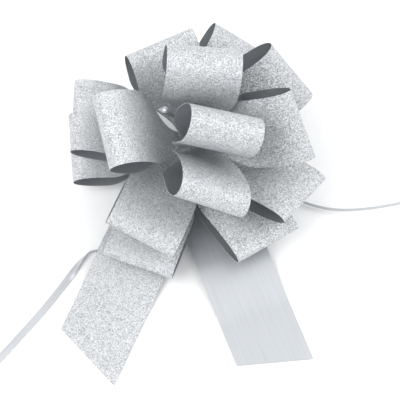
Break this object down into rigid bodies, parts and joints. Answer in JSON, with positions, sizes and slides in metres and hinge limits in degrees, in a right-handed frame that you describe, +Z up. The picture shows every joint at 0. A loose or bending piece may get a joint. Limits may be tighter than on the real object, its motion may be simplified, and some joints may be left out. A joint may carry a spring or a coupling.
{
  "type": "pull bow",
  "caption": "Pull bow of wide glitter ribbon: loops gathered into a rosette on thin pull ribbons, with two slanted tails, for the top of a wrapped gift.",
  "frame": {"origin": "centre of the underside of the lowest heat seal, on the surface that the bow lies on, with the stack of seals above it", "axes": "+Z up along the stack of seals, -Y towards the tails, +X to the right when the tails point at the viewer"},
  "size_m": [0.4372, 0.2703, 0.127],
  "materials": {
    "glitter_ribbon": "silver glitter on one side, satin on the other",
    "satin_ribbon": "satin silver",
    "pull_ribbon": "satin silver"
  },
  "bodies": {
    "base": {"seal_base": "satin_ribbon", "pull_left": "pull_ribbon", "pull_right": "pull_ribbon", "pull_left_coil": "pull_ribbon", "pull_right_coil": "pull_ribbon"},
    "seal_1_body": {"seal_1": "satin_ribbon"},
    "seal_2_body": {"seal_2": "satin_ribbon"},
    "seal_3_body": {"seal_3": "satin_ribbon"},
    "seal_4_body": {"seal_4": "satin_ribbon"},
    "seal_5_body": {"seal_5": "satin_ribbon"},
    "seal_6_body": {"seal_6": "satin_ribbon"},
    "stack_top": {"seal_7": "satin_ribbon", "pull_core": "pull_ribbon", "pull_knot": "pull_ribbon"},
    "loop_01_body": {"loop_01": "glitter_ribbon"},
    "loop_02_body": {"loop_02": "glitter_ribbon"},
    "loop_03_body": {"loop_03": "glitter_ribbon"},
    "loop_04_body": {"loop_04": "glitter_ribbon"},
    "loop_05_body": {"loop_05": "glitter_ribbon"},
    "loop_06_body": {"loop_06": "glitter_ribbon"},
    "loop_07_body": {"loop_07": "glitter_ribbon"},
    "loop_08_body": {"loop_08": "glitter_ribbon"},
    "loop_09_body": {"loop_09": "glitter_ribbon"},
    "loop_10_body": {"loop_10": "glitter_ribbon"},
    "loop_11_body": {"loop_11": "glitter_ribbon"},
    "loop_12_body": {"loop_12": "glitter_ribbon"},
    "loop_13_body": {"loop_13": "glitter_ribbon"},
    "loop_14_body": {"loop_14": "glitter_ribbon"},
    "tail_left_body": {"tail_left": "glitter_ribbon"},
    "tail_right_body": {"tail_right": "glitter_ribbon"}
  },
  "joints": [
    {"name": "stack_loosen", "type": "slide", "parent": "base", "child": "stack_top", "axis": [0, 0, 1], "range_m": [0, 0.006]},
    {"name": "seal_1_slide", "type": "slide", "parent": "base", "child": "seal_1_body", "axis": [0, 0, 1], "range_m": [0, 0.000877]},
    {"name": "seal_2_slide", "type": "slide", "parent": "base", "child": "seal_2_body", "axis": [0, 0, 1], "range_m": [0, 0.00173]},
    {"name": "seal_3_slide", "type": "slide", "parent": "base", "child": "seal_3_body", "axis": [0, 0, 1], "range_m": [0, 0.00259]},
    {"name": "seal_4_slide", "type": "slide", "parent": "base", "child": "seal_4_body", "axis": [0, 0, 1], "range_m": [0, 0.00345]},
    {"name": "seal_5_slide", "type": "slide", "parent": "base", "child": "seal_5_body", "axis": [0, 0, 1], "range_m": [0, 0.00431]},
    {"name": "seal_6_slide", "type": "slide", "parent": "base", "child": "seal_6_body", "axis": [0, 0, 1], "range_m": [0, 0.00516]},
    {"name": "loop_01_turn", "type": "hinge", "parent": "seal_1_body", "child": "loop_01_body", "pos_m": [0, 0, 0.01], "axis": [0, 0, 1], "range_deg": [-2.5, 2.5]},
    {"name": "loop_02_turn", "type": "hinge", "parent": "seal_1_body", "child": "loop_02_body", "pos_m": [0, 0, 0.01], "axis": [0, 0, 1], "range_deg": [-2.5, 2.5]},
    {"name": "loop_03_turn", "type": "hinge", "parent": "seal_2_body", "child": "loop_03_body", "pos_m": [0, 0, 0.0147], "axis": [0, 0, 1], "range_deg": [-2.5, 2.5]},
    {"name": "loop_04_turn", "type": "hinge", "parent": "seal_2_body", "child": "loop_04_body", "pos_m": [0, 0, 0.0147], "axis": [0, 0, 1], "range_deg": [-2.5, 2.5]},
    {"name": "loop_05_turn", "type": "hinge", "parent": "seal_3_body", "child": "loop_05_body", "pos_m": [0, 0, 0.0194], "axis": [0, 0, 1], "range_deg": [-2.5, 2.5]},
    {"name": "loop_06_turn", "type": "hinge", "parent": "seal_3_body", "child": "loop_06_body", "pos_m": [0, 0, 0.0194], "axis": [0, 0, 1], "range_deg": [-2.5, 2.5]},
    {"name": "loop_07_turn", "type": "hinge", "parent": "seal_4_body", "child": "loop_07_body", "pos_m": [0, 0, 0.0241], "axis": [0, 0, 1], "range_deg": [-2.5, 2.5]},
    {"name": "loop_08_turn", "type": "hinge", "parent": "seal_4_body", "child": "loop_08_body", "pos_m": [0, 0, 0.0241], "axis": [0, 0, 1], "range_deg": [-2.5, 2.5]},
    {"name": "loop_09_turn", "type": "hinge", "parent": "seal_5_body", "child": "loop_09_body", "pos_m": [0, 0, 0.0288], "axis": [0, 0, 1], "range_deg": [-2.5, 2.5]},
    {"name": "loop_10_turn", "type": "hinge", "parent": "seal_5_body", "child": "loop_10_body", "pos_m": [0, 0, 0.0288], "axis": [0, 0, 1], "range_deg": [-2.5, 2.5]},
    {"name": "loop_11_turn", "type": "hinge", "parent": "seal_6_body", "child": "loop_11_body", "pos_m": [0, 0, 0.0335], "axis": [0, 0, 1], "range_deg": [-2.5, 2.5]},
    {"name": "loop_12_turn", "type": "hinge", "parent": "seal_6_body", "child": "loop_12_body", "pos_m": [0, 0, 0.0335], "axis": [0, 0, 1], "range_deg": [-2.5, 2.5]},
    {"name": "loop_13_turn", "type": "hinge", "parent": "stack_top", "child": "loop_13_body", "pos_m": [0, 0, 0.0382], "axis": [0, 0, 1], "range_deg": [-2.5, 2.5]},
    {"name": "loop_14_turn", "type": "hinge", "parent": "stack_top", "child": "loop_14_body", "pos_m": [0, 0, 0.0382], "axis": [0, 0, 1], "range_deg": [-2.5, 2.5]},
    {"name": "tail_left_turn", "type": "hinge", "parent": "base", "child": "tail_left_body", "pos_m": [0, 0, 0.006], "axis": [0, 0, 1], "range_deg": [-2.5, 2.5]},
    {"name": "tail_right_turn", "type": "hinge", "parent": "base", "child": "tail_right_body", "pos_m": [0, 0, 0.006], "axis": [0, 0, 1], "range_deg": [-2.5, 2.5]}
  ],
  "couplings": [
    {"joint": "seal_1_slide", "follows": "stack_loosen", "ratio": 0.14286},
    {"joint": "seal_2_slide", "follows": "stack_loosen", "ratio": 0.28571},
    {"joint": "seal_3_slide", "follows": "stack_loosen", "ratio": 0.42857},
    {"joint": "seal_4_slide", "follows": "stack_loosen", "ratio": 0.57143},
    {"joint": "seal_5_slide", "follows": "stack_loosen", "ratio": 0.71429},
    {"joint": "seal_6_slide", "follows": "stack_loosen", "ratio": 0.85714}
  ]
}
